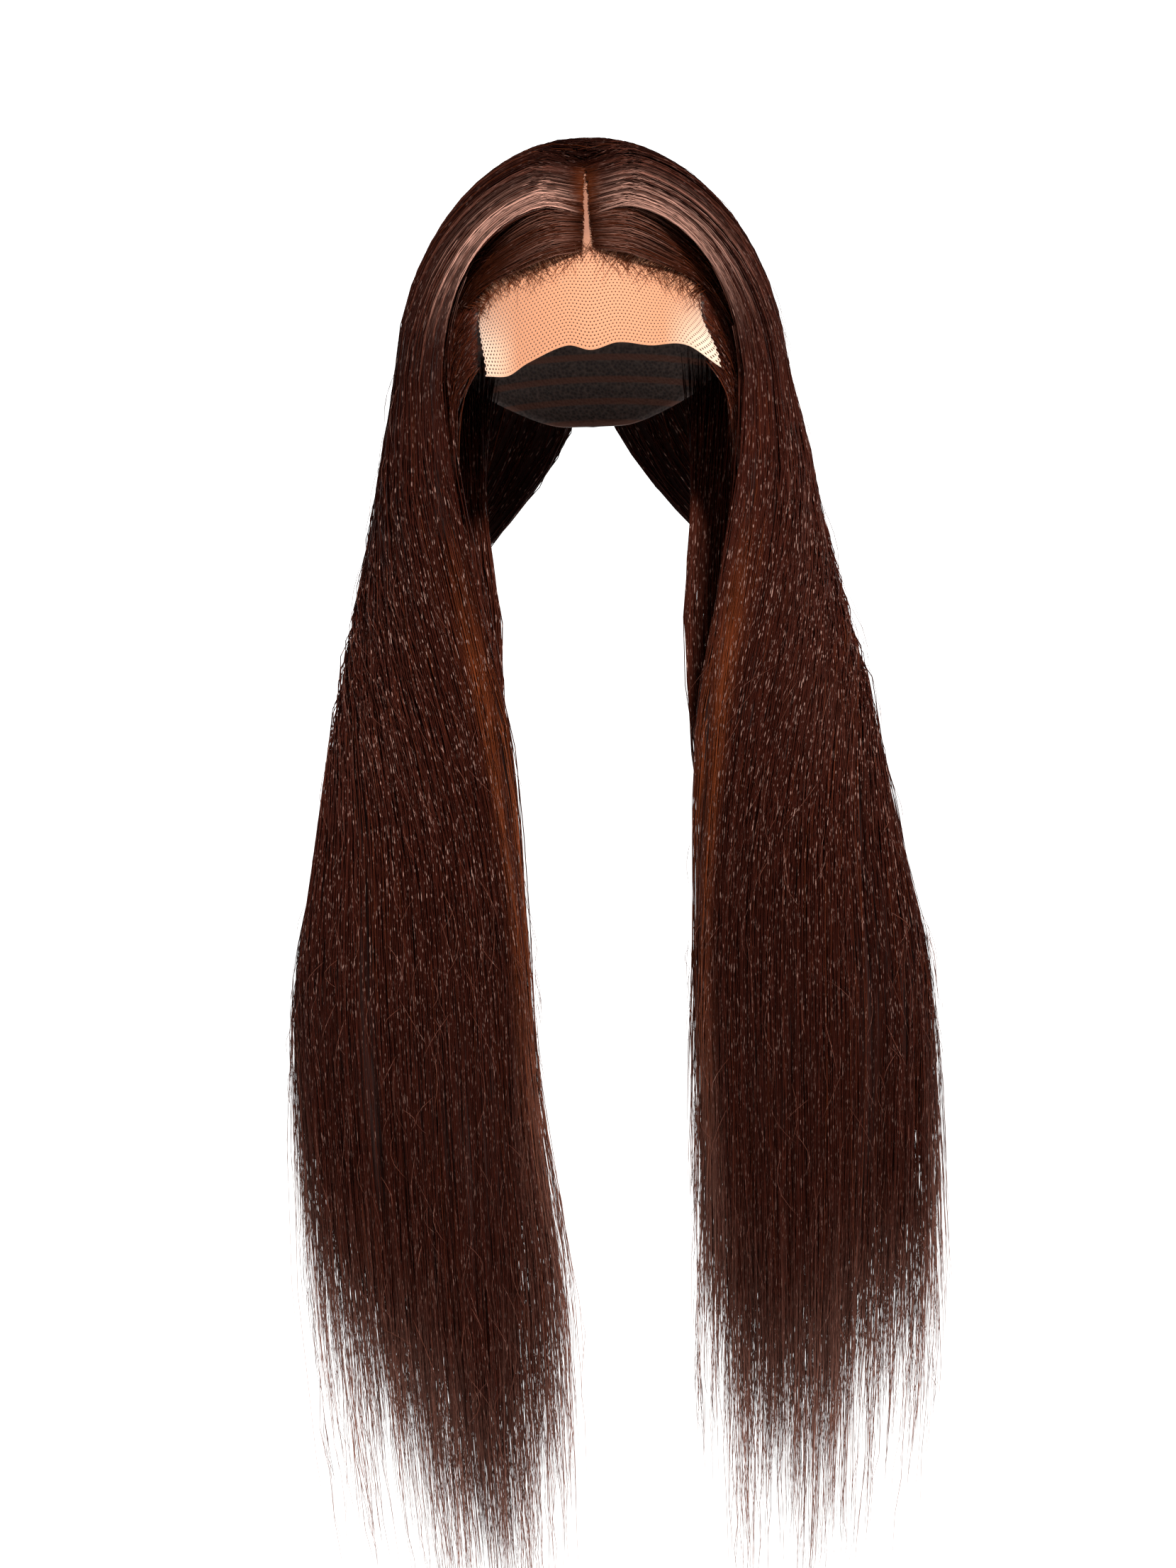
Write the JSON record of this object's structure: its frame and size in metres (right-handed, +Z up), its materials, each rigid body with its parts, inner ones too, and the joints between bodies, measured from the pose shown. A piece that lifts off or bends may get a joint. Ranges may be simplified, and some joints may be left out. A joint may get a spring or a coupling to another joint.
{
  "type": "lace closure wig",
  "caption": "Long straight dark brown wig on a net cap, with a lace closure, a middle part, and hair that falls in two curtains in front of the shoulders.",
  "frame": {"origin": "inside of the crown of the cap, where the top of the head meets it", "axes": "+Z up along the hanging hair, -Y out through the face opening, +X to the right as seen from the front"},
  "size_m": [0.3192, 0.2185, 0.7145],
  "materials": {
    "cap_net": "matte stretch net",
    "lace": "fine see-through lace",
    "hair": "straight combed hair with a soft sheen"
  },
  "bodies": {
    "root": {"wig_cap": "cap_net", "lace_closure": "lace", "hairline_hair_left": "hair", "hairline_hair_right": "hair", "closure_hair_left": "hair", "closure_hair_right": "hair", "weft_hair_left": "hair", "weft_hair_right": "hair"}
  },
  "joints": []
}
